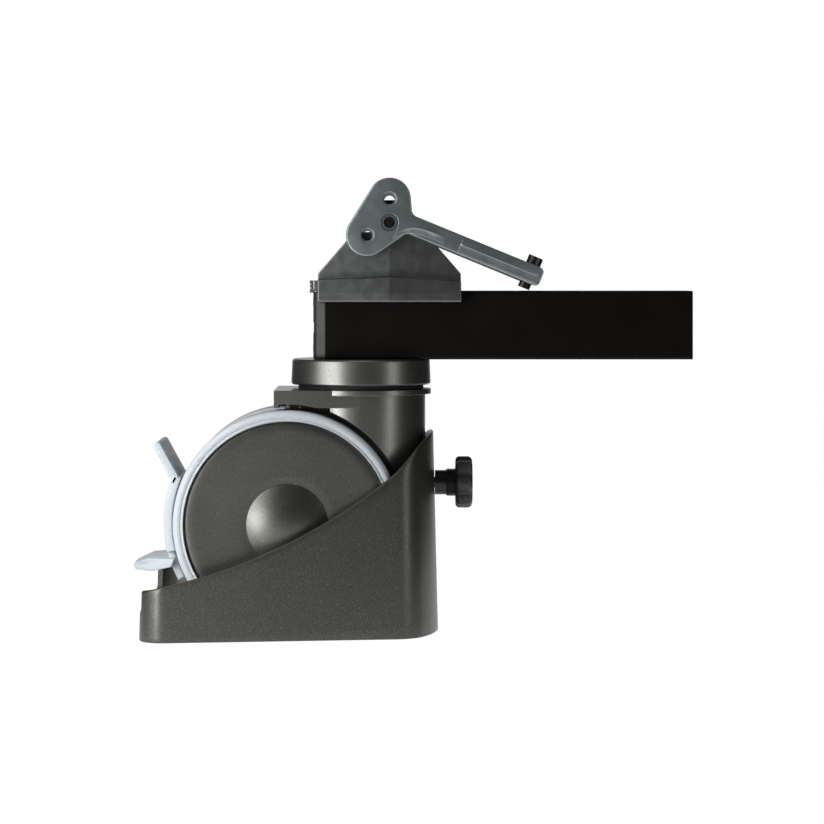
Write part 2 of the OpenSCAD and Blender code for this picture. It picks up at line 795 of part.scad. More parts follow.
module axle() {
    color(steel) place() wheel_frame(front) difference() {
        cylinder(r = axle_d / 2, h = 2 * axle_half, center = true);
        for (side = [0, 180]) rotate([side, 0, 0])
            translate([0, 0, clip_out - clip_t - 0.05]) ring(axle_d, axle_d / 2 - 0.6, clip_t + 0.1);
    }
}

module axle_spacers() {
    color(steel) place()
    for (side = [front, rear]) wheel_frame(side)
        translate([0, 0, column_half]) ring(axle_d / 2 + 2, axle_d / 2 + 0.03, hub_in - seat_gap - column_half);
}

module axle_clips() {
    color(dark_steel) place()
    for (side = [front, rear]) wheel_frame(side)
        translate([0, 0, clip_out - clip_t]) difference() {
            ring(axle_d / 2 + 2.2, axle_d / 2 - 0.55, clip_t);
            translate([-2, 0, -over]) cube([4, axle_d, clip_t + 2 * over]);
        }
}

module brake_pin() {
    color(steel) place()
        translate([brake_x, 0, brake_z]) rotate([90, 0, 0]) cylinder(r = brake_pin_r, h = web_t - 0.4, center = true);
}

module brake_spring() {
    strip = 0.8;
    wall_x = brake_x + brake_boss_r + 2.2;
    color(steel) place()
    translate([wall_x - strip, -4.5, brake_z - 8]) {
        cube([strip, 9, 16]);
        translate([-0.8, 0, 6]) cube([1, 9, 4]);
    }
}

module thread_insert() {
    color("#b08d4f") place()
        translate([seat_out - insert_l - 1, 0, knob_z]) rotate([0, 90, 0])
            ring(insert_r, stud_d / 2 + run_gap, insert_l);
}

// Section of the tyre: radius outward in x, distance from the castor's middle in y
module tyre_section() {
    r = wheel_r;
    b = rim_outer + 0.05;
    edge = 3.2;
    lip = cover_d / 2 + 0.6;
    polygon(concat(
        [[b, tyre_in + 1], [lip, tyre_in]],
        arc([r - edge, tyre_in + edge], edge, -90, 0, 8),
        arc([r - edge, tyre_out - edge], edge, 0, 78, 8),
        [[r - edge - 0.6, tyre_out - 0.25], [r - edge - 0.9, tyre_out - 0.7], [lip + 1, tyre_out - 0.7],
         [lip + 0.6, tyre_out], [lip, tyre_out], [lip, cover_in], [b, cover_in]]));
}

module tyre(side) {
    color(tyre_grey) place() wheel_frame(side) rotate_extrude($fn = 128) tyre_section();
}

module rim(side) {
    spokes = 6;
    face = cover_in - 0.1;
    bore = bearing_d / 2 + 0.02;
    color("#77797b") place() wheel_frame(side) difference() {
        union() {
            translate([0, 0, tyre_in + 1.2]) ring(rim_outer, rim_outer - 4, face - tyre_in - 1.2);
            translate([0, 0, hub_in + 6]) ring(rim_outer - 3.9, hub_r - 0.1, 4);
            translate([0, 0, hub_in]) ring(hub_r, bore, hub_out - hub_in);
            for (i = [0 : spokes - 1])
                rotate(i * 360 / spokes) translate([hub_r - 0.5, -1.25, hub_in + 2])
                    cube([rim_outer - hub_r - 2.5, 2.5, hub_out - hub_in - 6]);
        }
    }
}

module bearings(side) {
    inner = axle_d / 2 + run_gap;
    outer = bearing_d / 2;
    color(steel) place() wheel_frame(side)
    for (z = [hub_in, hub_out - bearing_w])
        translate([0, 0, z]) rotate_extrude() difference() {
            translate([inner, 0]) square([outer - inner, bearing_w]);
            for (y = [-0.01, bearing_w - 0.59])
                translate([inner + 2.2, y]) square([outer - inner - 4.4, 0.6]);
        }
}

module cover(side) {
    r = cover_d / 2;
    seat_r = cap_d / 2 + 0.4;
    color("#4b4a47") place() wheel_frame(side) rotate_extrude($fn = 128) polygon([
        [hub_r - 1.5, cover_in], [r - 0.2, cover_in], [r, cover_in + 0.3], [r, cover_out - 0.9],
        [r - 0.8, cover_out - 0.2], [r - 1.6, cover_out - 0.2], [r - 1.9, cover_out - 0.5],
        [r - 2.2, cover_out - 0.2], [r - 3, cover_out], [seat_r + 0.3, cover_out],
        [seat_r, cover_out - 0.3], [seat_r, cover_out - cap_seat], [hub_r - 1.5, cover_out - cap_seat]]);
}

module hub_cap(side) {
    r = cap_d / 2;
    base = cover_out - cap_seat + 0.05;
    rise = cap_rise + cover_out - base - 0.6;
    dome_r = (r * r + rise * rise) / 2 / rise;
    half = asin(r / dome_r);
    shell = 1.6;
    color("#4b4a47") place() wheel_frame(side) rotate_extrude($fn = 96) polygon(concat(
        [[r, base]],
        arc([0, base + 0.6 + rise - dome_r], dome_r, 90 - half, 90, 16),
        [[0, base + 0.6 + rise - shell], [axle_d / 2 + 4, base + 0.4 + rise - shell - 0.8],
         [axle_d / 2 + 4, base - 1.4], [hub_r - 1.8, base - 1.4], [hub_r - 1.8, base]]));
}

// A ring sector about the axle in side view, between angles over and under the far side
module rocker_band(r_in, r_out, up, down) {
    far = 2 * r_out;
    translate([axle_x, axle_z]) intersection() {
        difference() {
            circle(r = r_out, $fn = 128);
            circle(r = r_in, $fn = 128);
        }
        polygon([[0, 0], far * [-cos(up), sin(up)], far * [-1, 0.5 * sin(up - down)],
            far * [-cos(down), -sin(down)]]);
    }
}

module release_lever() {
    root_r = (rocker_in + rocker_out) / 2;
    root_up = rocker_up - 2.2;
    root_len = 5;
    half = rocker_t / 2;
    difference() {
        translate([axle_x - root_r * cos(root_up), axle_z + root_r * sin(root_up)]) rotate(release_lean) {
            polygon([[-half, -root_len], [half, -root_len], [half - 0.3, release_len], [0.3 - half, release_len]]);
            translate([0, release_len]) circle(r = half - 0.3);
        }
        translate([axle_x, axle_z]) circle(r = rocker_in + 0.02, $fn = 128);
    }
}

// The foot pedal: a plate with a drooping nose, rounded in plan
module pedal() {
    root_x = axle_x - rocker_in + 2;
    top_z = axle_z - 19.7;
    tip_x = axle_x - pedal_reach;
    plan_r = rocker_w / 2 + 0.5;
    difference() {
        intersection() {
            across(rocker_w) polygon([
                [root_x, top_z], [tip_x + 10, top_z - 0.3], [tip_x + 1.5, top_z - pedal_drop + 1.7],
                [tip_x, top_z - pedal_drop], [tip_x + 1.5, top_z - pedal_drop - 2.2],
                [tip_x + 12, top_z - pedal_drop - 2], [root_x, top_z - pedal_t]]);
            union() {
                translate([tip_x + plan_r, 0, 0]) cylinder(r = plan_r, h = axle_z);
                translate([tip_x + plan_r, -plan_r, 0]) cube([plan_r, 2 * plan_r, axle_z]);
            }
        }
        translate([axle_x, 0, axle_z]) rotate([90, 0, 0])
            cylinder(r = rocker_in + 0.3, h = 2 * rocker_w, center = true, $fn = 128);
    }
}

module brake_rocker() {
    skirt_w = rocker_w - 12;
    arm_low = 8;
    arm_high = 12;
    arm_r = (rocker_in + rocker_out) / 2 + 0.7;
    color(tyre_grey) place() difference() {
        union() {
            across(rocker_w) rocker_band(rocker_in, rocker_out, rocker_up, 14);
            across(skirt_w) rocker_band(rocker_in + 1, rocker_out + 0.6, 6, rocker_down);
            across(rocker_w) release_lever();
            pedal();
            across(brake_arm_t) polygon([
                [brake_x, brake_z - brake_boss_r],
                [axle_x - arm_r * cos(arm_low), axle_z - arm_r * sin(arm_low)],
                [axle_x - arm_r * cos(arm_high), axle_z + arm_r * sin(arm_high)],
                [brake_x, brake_z + brake_boss_r]]);
            translate([brake_x, 0, brake_z]) rotate([90, 0, 0])
                cylinder(r = brake_boss_r, h = brake_arm_t, center = true);
        }
        translate([brake_x, 0, brake_z]) rotate([90, 0, 0])
            cylinder(r = brake_pin_r + run_gap, h = 2 * rocker_w, center = true);
    }
}

module brake_pads() {
    pad_w = rocker_w / 2 - tyre_in - 1.5;
    color(dark_steel) place()
    for (side = [-1, 1])
        translate([0, side * (tyre_in + 1 + pad_w / 2), 0])
            across(pad_w) rocker_band(rocker_in - pad_t, rocker_in - 0.02, -pad_from, pad_to);
}

// Plan of the guard as circle centres, radii and outward angles, going round from the near end
end_c = [guard_front - guard_end_r, 0];
turn_y = guard_near_w / 2 - guard_turn_r;
turn_c = [end_c[0] + sqrt(pow(guard_end_r - guard_turn_r, 2) - pow(turn_y, 2)), turn_y];
turn_from = asin(turn_y / (guard_end_r - guard_turn_r));
corner_c = [-guard_reach + guard_corner_r, guard_w / 2 - guard_corner_r];
side_way = corner_c - turn_c;
side_turn = atan2(side_way[1], side_way[0]) - acos((guard_turn_r - guard_corner_r) / norm(side_way));
end_steps = 8;
turn_steps = 12;
side_steps = 14;
corner_steps = 8;
half_plan = concat(
    [for (i = [0 : end_steps]) [end_c, guard_end_r, turn_from * i / end_steps]],
    [for (i = [1 : turn_steps])
        [turn_c, guard_turn_r, turn_from + (side_turn - turn_from) * i / turn_steps]],
    [for (i = [1 : side_steps])
        let (f = i / side_steps)
        [turn_c + side_way * f, guard_turn_r + (guard_corner_r - guard_turn_r) * f, side_turn]],
    [for (i = [1 : corner_steps])
        [corner_c, guard_corner_r, side_turn + (180 - side_turn) * i / corner_steps]]);
half_count = len(half_plan);
plan = concat(half_plan,
    [for (i = [half_count - 1 : -1 : 1])
        let (p = half_plan[i])
        [[p[0][0], -p[0][1]], p[1], -p[2]]]);

function plan_point(p, inset) = p[0] + (p[1] - inset) * [cos(p[2]), sin(p[2])];

// Height of the sweeping rim over the floor
rim_centre = arc_centre([-guard_reach, rim_low], [guard_front, rim_high], rim_r);
function rim_height(x) = rim_centre[1] - sqrt(pow(rim_r, 2) - pow(x - rim_centre[0], 2));

// One ring of the guard: a share of the way up to the rim, an inset and a step down from the rim
function guard_ring(share, inset, drop) = [
    for (p = plan)
        let (
            base = plan_point(p, 0),
            top = rim_height(base[0]) - drop,
            z = guard_clear + share * (top - guard_clear),
            q = plan_point(p, inset + z * tan(guard_draft)))
        [q[0], q[1], z]
];

module guard_shell() {
    lip = 0.9;
    rings = [
        [0, lip * 0.8, 0], [0.02, 0, 0], [0.35, 0, 0], [0.7, 0, 0],
        [1, 0, lip], [1, lip * 0.3, lip * 0.3], [1, guard_wall / 2, 0],
        [1, guard_wall - lip * 0.3, lip * 0.3], [1, guard_wall, lip], [0.5, guard_wall, 0],
        [0.02, guard_wall, 0], [0, guard_wall - lip * 0.5, 0]];
    n = len(plan);
    m = len(rings);
    points = [for (g = rings) each guard_ring(g[0], g[1], g[2])];
    faces = [
        for (j = [0 : m - 1], i = [0 : n - 1])
            let (a = j * n + i, b = j * n + (i + 1) % n, c = ((j + 1) % m) * n + i, d = ((j + 1) % m) * n + (i + 1) % n)
            each [[a, c, b], [b, c, d]]
    ];
    polyhedron(points, faces, convexity = 6);
}

module cable_guard() {
    slot_r = stud_d / 2 + 0.3;
    color(paint) place() difference() {
        guard_shell();
        for (z = [knob_z - guard_up, knob_z + guard_down])
            translate([neck_r, 0, z]) rotate([0, 90, 0]) cylinder(r = slot_r, h = 20);
        translate([neck_r, -slot_r, knob_z - guard_up]) cube([20, 2 * slot_r, guard_up + guard_down]);
    }
}

module knob_handle() {
    r = knob_d / 2;
    edge = 2.4;
    lobe = r * 0.3;
    color(black) place() translate([hub_x, 0, knob_z]) rotate([0, 90, 0]) difference() {
        union() {
            cylinder(d = hub_d, h = hub_l + 1);
            translate([0, 0, hub_l]) intersection() {
                linear_extrude(knob_t) {
                    circle(r = r * 0.86);
                    for (i = [0 : knob_lobes - 1])
                        rotate(i * 360 / knob_lobes) translate([r - lobe, 0]) circle(r = lobe);
                }
                rotate_extrude() polygon(concat([[0, 0]],
                    arc([r - edge, edge], edge, -90, 0, 6),
                    arc([r - edge, knob_t - edge], edge, 0, 90, 6),
                    [[0, knob_t]]));
            }
        }
        translate([0, 0, -over]) cylinder(r = stud_d / 2 + 0.02, h = over + hub_l + 5);
        translate([0, 0, hub_l + knob_t - 1.2]) cylinder(r1 = r * 0.38, r2 = r * 0.5, h = 1.3);
    }
}

module knob_stud() {
    from = seat_out - insert_l - 4;
    color(steel) place() translate([from, 0, knob_z]) rotate([0, 90, 0])
        cylinder(r = stud_d / 2, h = hub_x + hub_l + 4.8 - from);
}

module knob_spacer() {
    color("#151413") place() translate([spacer_x, 0, knob_z]) rotate([0, 90, 0])
        ring(spacer_d / 2, stud_d / 2 + 0.05, spacer_l);
}

module front_tyre() { tyre(front); }
module front_rim() { rim(front); }
module front_bearings() { bearings(front); }
module front_cover() { cover(front); }
module front_hub_cap() { hub_cap(front); }
module rear_tyre() { tyre(rear); }
module rear_rim() { rim(rear); }
module rear_bearings() { bearings(rear); }
module rear_cover() { cover(rear); }
module rear_hub_cap() { hub_cap(rear); }

arm_tube();
arm_end_cap();
end_plate();
end_plate_screws();
plate_hook();
bearing_disc();
nut_plate();
disc_screws();
kingpin();
kingpin_washer();
kingpin_nut();
race_upper();
dust_ring();
clamp_body();
clamp_bolts();
pivot_block();
block_screws();
pivot_pin();
lever_yoke();
lever_bushes();
stop_bolt();
stop_nut();
castor_housing();
stem_bush();
race_lower();
thrust_balls();
axle();
axle_spacers();
axle_clips();
brake_pin();
brake_spring();
thread_insert();
front_tyre();
front_rim();
front_bearings();
front_cover();
front_hub_cap();
rear_tyre();
rear_rim();
rear_bearings();
rear_cover();
rear_hub_cap();
brake_rocker();
brake_pads();
cable_guard();
knob_handle();
knob_stud();
knob_spacer();
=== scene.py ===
import json
import math

import bmesh
import bpy
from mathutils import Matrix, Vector


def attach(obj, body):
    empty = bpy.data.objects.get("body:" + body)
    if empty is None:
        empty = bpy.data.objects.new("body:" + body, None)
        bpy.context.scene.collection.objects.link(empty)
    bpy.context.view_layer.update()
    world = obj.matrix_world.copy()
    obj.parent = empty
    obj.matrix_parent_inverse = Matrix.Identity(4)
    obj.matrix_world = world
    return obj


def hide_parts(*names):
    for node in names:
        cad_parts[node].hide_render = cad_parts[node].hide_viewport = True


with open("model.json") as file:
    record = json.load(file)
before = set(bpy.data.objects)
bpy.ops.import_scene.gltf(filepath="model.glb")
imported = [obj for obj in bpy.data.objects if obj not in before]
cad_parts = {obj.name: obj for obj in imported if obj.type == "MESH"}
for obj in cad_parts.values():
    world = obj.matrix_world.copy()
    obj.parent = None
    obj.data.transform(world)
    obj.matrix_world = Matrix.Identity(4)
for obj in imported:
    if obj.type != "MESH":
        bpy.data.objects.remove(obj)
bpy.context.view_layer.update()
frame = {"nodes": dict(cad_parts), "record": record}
nodes = frame["nodes"]

# The station is described in millimetres: x from the swivel axis, y from the middle plane away from
# the camera, z from the floor. The frame's origin is the middle of the arm's open end.
ARM_REACH = 184.0
ARM_MID = 171.3
AXLE_X, AXLE_Z = -40.3, 62.5
KNOB_Z = 83.0
PIVOT = (15.9, 228.2)


def at(x, y, z):
    """A point of the station, in the frame's metres."""
    return Vector(((x - ARM_REACH) / 1000, y / 1000, (z - ARM_MID) / 1000))


# Materials


class Finish:
    """A material built from nodes, with short helpers for the usual steps."""

    def __init__(self, name, rough=0.5, metallic=0.0, specular=0.5):
        self.material = bpy.data.materials.new(name)
        self.material.use_nodes = True
        self.tree = self.material.node_tree
        self.shader = self.tree.nodes["Principled BSDF"]
        self.shader.inputs["Roughness"].default_value = rough
        self.shader.inputs["Metallic"].default_value = metallic
        self.shader.inputs["Specular IOR Level"].default_value = specular
        self.place = self.tree.nodes.new("ShaderNodeTexCoord").outputs["Object"]

    def node(self, kind, **inputs):
        made = self.tree.nodes.new(kind)
        for key, value in inputs.items():
            made.inputs[key.replace("_", " ")].default_value = value
        return made

    def link(self, source, target):
        self.tree.links.new(source, target)

    def noise(self, scale, detail=3.0, rough=0.55):
        """Noise in the object's own space; scale is in bumps a metre."""
        made = self.node("ShaderNodeTexNoise", Scale=scale, Detail=detail, Roughness=rough)
        self.link(self.place, made.inputs["Vector"])
        return made.outputs["Fac"]

    def span(self, value, low, high, to_low, to_high):
        """Takes the values from low to high on to those from to_low to to_high, and holds them there."""
        made = self.node("ShaderNodeMapRange", From_Min=low, From_Max=high, To_Min=to_low, To_Max=to_high)
        self.link(value, made.inputs["Value"])
        return made.outputs["Result"]

    def mix(self, share, a, b):
        """Colour a where share is 0 and b where it is 1. Both may be linear colours or outputs."""
        made = self.tree.nodes.new("ShaderNodeMix")
        made.data_type = "RGBA"
        self.link(share, made.inputs["Factor"])
        for socket, value in ((made.inputs[6], a), (made.inputs[7], b)):
            if isinstance(value, tuple):
                socket.default_value = (*value, 1.0)
            else:
                self.link(value, socket)
        return made.outputs[2]

    def maths(self, operation, a, b):
        made = self.tree.nodes.new("ShaderNodeMath")
        made.operation = operation
        self.link(a, made.inputs[0])
        if isinstance(b, float):
            made.inputs[1].default_value = b
        else:
            self.link(b, made.inputs[1])
        return made.outputs[0]

    def times(self, a, b):
        return self.maths("MULTIPLY", a, b)

    def plus(self, a, b):
        return self.maths("ADD", a, b)

    def colour(self, source):
        self.link(source, self.shader.inputs["Base Color"])

    def roughness(self, source):
        self.link(source, self.shader.inputs["Roughness"])

    def relief(self, height, strength, depth_mm, edge_mm):
        """Fine relief, on edges that catch the light as if they were rounded by edge_mm."""
        bump = self.node("ShaderNodeBump", Strength=strength, Distance=depth_mm / 1000)
        self.link(height, bump.inputs["Height"])
        round_edge = self.node("ShaderNodeBevel", Radius=edge_mm / 1000)
        round_edge.samples = 4
        self.link(round_edge.outputs["Normal"], bump.inputs["Normal"])
        self.link(bump.outputs["Normal"], self.shader.inputs["Normal"])


def srgb(r, g, b):
    """A linear colour from the 0-255 values that a colour shows as."""
    def one(v):
        v /= 255
        return v / 12.92 if v <= 0.04045 else ((v + 0.055) / 1.055) ** 2.4
    return (one(r), one(g), one(b))


def fleck_paint(name, low, high, metallic=0.92):
    """Dark warm grey paint with fine metal flecks, which shines softly where a lamp mirrors in it."""
    m = Finish(name, rough=0.35, metallic=metallic, specular=0.7)
    fine = m.noise(2600, 2.0, 0.75)
    broad = m.noise(28, 4.0, 0.6)
    bright = m.mix(m.span(fine, 0.56, 0.74, 0.0, 0.6), m.mix(broad, low, high), srgb(165, 165, 158))
    m.colour(m.mix(m.span(fine, 0.45, 0.30, 0.0, 0.7), bright, srgb(34, 34, 32)))
    m.roughness(m.plus(m.span(broad, 0.3, 0.7, 0.34, 0.38), m.span(fine, 0.4, 0.7, 0.04, -0.04)))
    m.relief(m.plus(m.times(m.noise(900, 2.0), 0.6), m.times(m.noise(2300, 1.0), 0.4)), 0.25, 0.08, 0.5)
    return m.material


def satin_cover():
    """The wheel covers' smooth satin, with finer flecks than the paint's."""
    m = Finish("satin_cover", rough=0.34, metallic=0.85, specular=0.7)
    fine = m.noise(2300, 2.0, 0.75)
    broad = m.noise(22, 3.0)
    body = m.mix(broad, srgb(82, 82, 79), srgb(92, 92, 88))
    bright = m.mix(m.span(fine, 0.56, 0.74, 0.0, 0.6), body, srgb(150, 150, 144))
    m.colour(m.mix(m.span(fine, 0.44, 0.30, 0.0, 0.5), bright, srgb(40, 40, 38)))
    m.roughness(m.span(broad, 0.3, 0.7, 0.31, 0.36))
    m.relief(m.noise(1500, 2.0), 0.14, 0.06, 0.25)
    return m.material


def casting(name, low, high, edge_mm, metallic=0.0):
    """A coated casting, mottled and a little pitted."""
    m = Finish(name, rough=0.42, metallic=metallic, specular=0.5)
    broad = m.noise(35, 5.0, 0.62)
    m.colour(m.mix(m.span(broad, 0.3, 0.7, 0.0, 1.0), low, high))
    m.roughness(m.span(m.noise(180, 3.0), 0.3, 0.7, 0.32, 0.42))
    m.relief(m.plus(m.times(m.noise(420, 3.0), 0.6), m.times(m.noise(1500, 2.0), 0.4)), 0.35, 0.2, edge_mm)
    return m.material


def black_coat():
    """The arm's dull black coat."""
    m = Finish("black_coat", rough=0.5, specular=0.12)
    fine = m.noise(1800, 3.0, 0.6)
    m.colour(m.mix(m.span(fine, 0.35, 0.7, 0.0, 1.0), srgb(9, 7, 5), srgb(14, 11, 9)))
    m.roughness(m.span(m.noise(40, 3.0), 0.3, 0.7, 0.46, 0.58))
    m.relief(m.noise(1300, 2.0), 0.15, 0.06, 0.4)
    return m.material


def tread():
    """Pale grey tread rubber with light scuffs."""
    m = Finish("grey_tread", rough=0.62, specular=0.35)
    broad = m.noise(30, 4.0, 0.6)
    scuff = m.noise(260, 4.0, 0.7)
    body = m.mix(m.span(broad, 0.3, 0.7, 0.0, 1.0), srgb(184, 190, 195), srgb(197, 202, 206))
    m.colour(m.mix(m.span(scuff, 0.58, 0.75, 0.0, 0.35), body, srgb(168, 173, 180)))
    m.roughness(m.span(scuff, 0.3, 0.7, 0.55, 0.7))
    m.relief(m.noise(700, 3.0), 0.12, 0.08, 0.3)
    return m.material


def moulding(name, low, high, rough, grain=600, depth=0.05, edge_mm=0.4):
    """Moulded plastic or rubber with a fine grain."""
    m = Finish(name, rough=rough, specular=0.45)
    broad = m.noise(45, 4.0, 0.6)
    m.colour(m.mix(m.span(broad, 0.3, 0.7, 0.0, 1.0), low, high))
    m.roughness(m.span(m.noise(160, 3.0), 0.3, 0.7, rough - 0.06, rough + 0.08))
    m.relief(m.noise(grain, 3.0), 0.2, depth, edge_mm)
    return m.material


def machined(name, low, high, rough):
    """Bare or plated metal with fine tool marks."""
    m = Finish(name, rough=rough, metallic=1.0)
    marks = m.noise(900, 3.0, 0.6)
    m.colour(m.mix(m.span(marks, 0.3, 0.7, 0.0, 1.0), low, high))
    m.roughness(m.span(m.noise(220, 3.0), 0.3, 0.7, rough - 0.08, rough + 0.1))
    m.relief(marks, 0.15, 0.03, 0.15)
    return m.material


finishes = {
    "fleck_paint": fleck_paint("fleck_paint", srgb(110, 111, 108), srgb(121, 122, 118)),
    # The guard takes a darker, less metallic copy of the housing's fleck paint: painted shade that holds down
    # the floor's reflection on the low skirt.
    "shaded_guard_paint": fleck_paint("shaded_guard_paint", srgb(64, 64, 60), srgb(74, 74, 69), 0.6),
    "satin_cover": satin_cover(),
    "grey_casting": casting("grey_casting", srgb(112, 115, 113), srgb(124, 127, 125), 0.5, 0.85),
    "blue_grey_casting": casting("blue_grey_casting", srgb(138, 146, 148), srgb(151, 159, 161), 0.5, 0.75),
    "black_coat": black_coat(),
    "black_block": casting("black_block", srgb(18, 17, 16), srgb(27, 26, 24), 0.5),
    "dark_plate": moulding("dark_plate", srgb(34, 34, 33), srgb(46, 46, 44), 0.45),
    "satin_grey": moulding("satin_grey", srgb(86, 87, 84), srgb(95, 96, 93), 0.45),
    "grey_tread": tread(),
    "grey_core": moulding("grey_core", srgb(112, 115, 118), srgb(126, 129, 131), 0.5),
    "brake_plastic": moulding("brake_plastic", srgb(180, 188, 193), srgb(193, 200, 204), 0.5, 500, 0.04, 0.8),
    "knob_plastic": moulding("knob_plastic", srgb(54, 53, 51), srgb(64, 63, 61), 0.45, 1400, 0.06, 0.3),
    "spacer_plastic": moulding("spacer_plastic", srgb(24, 24, 23), srgb(32, 32, 31), 0.4),
    "bush_plastic": moulding("bush_plastic", srgb(70, 75, 78), srgb(80, 85, 88), 0.5),
    "black_rubber": moulding("black_rubber", srgb(22, 22, 22), srgb(32, 32, 32), 0.7),
    "steel": machined("steel", srgb(150, 152, 155), srgb(178, 180, 182), 0.35),
    "race_steel": machined("race_steel", srgb(190, 192, 195), srgb(210, 212, 214), 0.18),
    "bearing_steel": machined("bearing_steel", srgb(160, 162, 165), srgb(185, 187, 190), 0.3),
    "pin_steel": machined("pin_steel", srgb(50, 47, 42), srgb(60, 56, 50), 0.45),
    "clip_steel": machined("clip_steel", srgb(78, 79, 80), srgb(96, 97, 98), 0.4),
    "zinc_screws": machined("zinc_screws", srgb(150, 152, 155), srgb(172, 174, 176), 0.35),
    "black_screws": machined("black_screws", srgb(70, 72, 72), srgb(84, 86, 86), 0.42),
    "bronze": machined("bronze", srgb(158, 126, 74), srgb(176, 144, 90), 0.35),
    "brass_insert": machined("brass_insert", srgb(182, 150, 92), srgb(200, 168, 108), 0.3),
}
slot_of = {row["node"]: row["material_slot"] for row in frame["record"]["subparts"]}
for name, thing in nodes.items():
    thing.data.materials.clear()
    thing.data.materials.append(finishes[slot_of[name]])

# Stage, lamps and camera

scene = bpy.context.scene
scene.view_settings.view_transform = "Standard"


def make_mesh(name, points, faces):
    """A new object from points and faces."""
    mesh = bpy.data.meshes.new(name)
    mesh.from_pydata([tuple(p) for p in points], [], faces)
    mesh.update()
    thing = bpy.data.objects.new(name, mesh)
    scene.collection.objects.link(thing)
    return thing


CAMERA_X, CAMERA_Z = 13.45, 200.8
FLOOR_GLOW = 0.96
FLOOR_GREY = 0.45
WORLD_LIGHT = 0.035


def seen_directly(tree):
    """1 for a ray from the camera, or one that a shiny or clear surface sends on, and 0 for the rest."""
    path = tree.nodes.new("ShaderNodeLightPath")
    seen = path.outputs["Is Camera Ray"]
    for kind in ("Is Glossy Ray", "Is Transmission Ray"):
        larger = tree.nodes.new("ShaderNodeMath")
        larger.operation = "MAXIMUM"
        tree.links.new(seen, larger.inputs[0])
        tree.links.new(path.outputs[kind], larger.inputs[1])
        seen = larger.outputs[0]
    return seen


def floor_material():
    """A pale floor whose lit parts read as white and which still takes the object's shadow."""
    material = bpy.data.materials.new("pale_floor")
    material.use_nodes = True
    tree = material.node_tree
    shader = tree.nodes["Principled BSDF"]
    shader.inputs["Base Color"].default_value = (FLOOR_GREY, FLOOR_GREY, FLOOR_GREY, 1)
    shader.inputs["Roughness"].default_value = 0.9
    shader.inputs["Specular IOR Level"].default_value = 0.0
    glow = tree.nodes.new("ShaderNodeMath")
    glow.operation = "MULTIPLY"
    glow.inputs[1].default_value = FLOOR_GLOW
    tree.links.new(seen_directly(tree), glow.inputs[0])
    shader.inputs["Emission Color"].default_value = (1, 1, 1, 1)
    tree.links.new(glow.outputs[0], shader.inputs["Emission Strength"])
    return material


def sweep():
    """A pale floor that widens away from the camera and curves up into a backdrop far behind."""
    near_half, far_half, front_y, back_y, bend = 0.19, 0.56, -0.585, 1.5, 0.5
    floor_z, middle_x, wall = -ARM_MID / 1000, at(CAMERA_X, 0, 0).x, 1.3
    profile = [(front_y, floor_z), (0.0, floor_z), (back_y - bend, floor_z)]
    for step in range(1, 13):
        turn = math.radians(90 * step / 12)
        profile.append((back_y - bend + bend * math.sin(turn), floor_z + bend * (1 - math.cos(turn))))
    profile.append((back_y, floor_z + wall))
    points = []
    for y, z in profile:
        half = near_half + (far_half - near_half) * (y - front_y) / (back_y - front_y)
        points += [(middle_x - half, y, z), (middle_x + half, y, z)]
    faces = [(2 * i, 2 * i + 1, 2 * i + 3, 2 * i + 2) for i in range(len(profile) - 1)]
    thing = make_mesh("studio_sweep", points, faces)
    thing.data.materials.append(floor_material())
    for face in thing.data.polygons:
        face.use_smooth = True


sweep()

world = bpy.data.worlds.new("studio")
scene.world = world
world.use_nodes = True
background = world.node_tree.nodes["Background"]
background.inputs["Color"].default_value = (1, 1, 1, 1)
background.inputs["Strength"].default_value = WORLD_LIGHT


def lamp(name, place, aim, size, power):
    """A rectangular lamp of size (width, height) in metres and power in watts."""
    data = bpy.data.lights.new(name, "AREA")
    data.shape = "RECTANGLE"
    data.size, data.size_y = size
    data.energy = power
    thing = bpy.data.objects.new(name, data)
    scene.collection.objects.link(thing)
    thing.location = place
    thing.rotation_euler = (aim - thing.location).to_track_quat("-Z", "Y").to_euler()


def round_the_station(azimuth, elevation, away, height=110):
    """A lamp's place: azimuth 0 is the camera's side and grows to the right."""
    a, e = math.radians(azimuth), math.radians(elevation)
    reach = away * math.cos(e)
    return at(0, 0, height) + Vector((reach * math.sin(a), -reach * math.cos(a), away * math.sin(e)))


middle = at(-20, 0, 120)
lamp("key_left", round_the_station(-52, 14, 0.45, 130), middle, (0.27, 0.44), 1.85)
lamp("low_left", at(-232, -285, 62), at(-100, -60, 40), (0.07, 0.13), 0.4)
lamp("strip_right", round_the_station(53, 8, 0.62), middle, (0.07, 0.7), 0.8)
lamp("overhead", Vector((-0.25, -0.05, 0.9)), middle, (0.5, 0.5), 0.8)

camera_data = bpy.data.cameras.new("camera")
camera = bpy.data.objects.new("camera", camera_data)
scene.collection.objects.link(camera)
scene.camera = camera
# The camera is level. FIELD_WIDTH is what its picture spans at the middle plane, in metres, and
# AHEAD is the pixel of the photograph that lies straight ahead of it.
CAMERA_AWAY = 1.6
FIELD_WIDTH = 0.4619
PICTURE = 824
AHEAD = (385, 272)
SENSOR = 36
camera.location = at(CAMERA_X, -1000 * CAMERA_AWAY, CAMERA_Z)
camera.rotation_euler = (math.radians(90), 0, 0)
camera_data.sensor_width = SENSOR
camera_data.lens = SENSOR * CAMERA_AWAY / FIELD_WIDTH
camera_data.shift_x = (PICTURE / 2 - AHEAD[0]) / PICTURE
camera_data.shift_y = (AHEAD[1] - PICTURE / 2) / PICTURE
camera_data.clip_end = 50

# Mesh helpers


def arc(cx, cz, r, start, stop, steps):
    """Points on a circle from one angle to another, both in degrees and both included."""
    turn = [math.radians(start + (stop - start) * i / steps) for i in range(steps + 1)]
    return [(cx + r * math.cos(a), cz + r * math.sin(a)) for a in turn]


def smooth(thing, angle):
    """Shades a piece smooth and keeps the edges that turn by more than angle degrees sharp."""
    for face in thing.data.polygons:
        face.use_smooth = True
    thing.data.set_sharp_from_angle(angle=math.radians(angle))


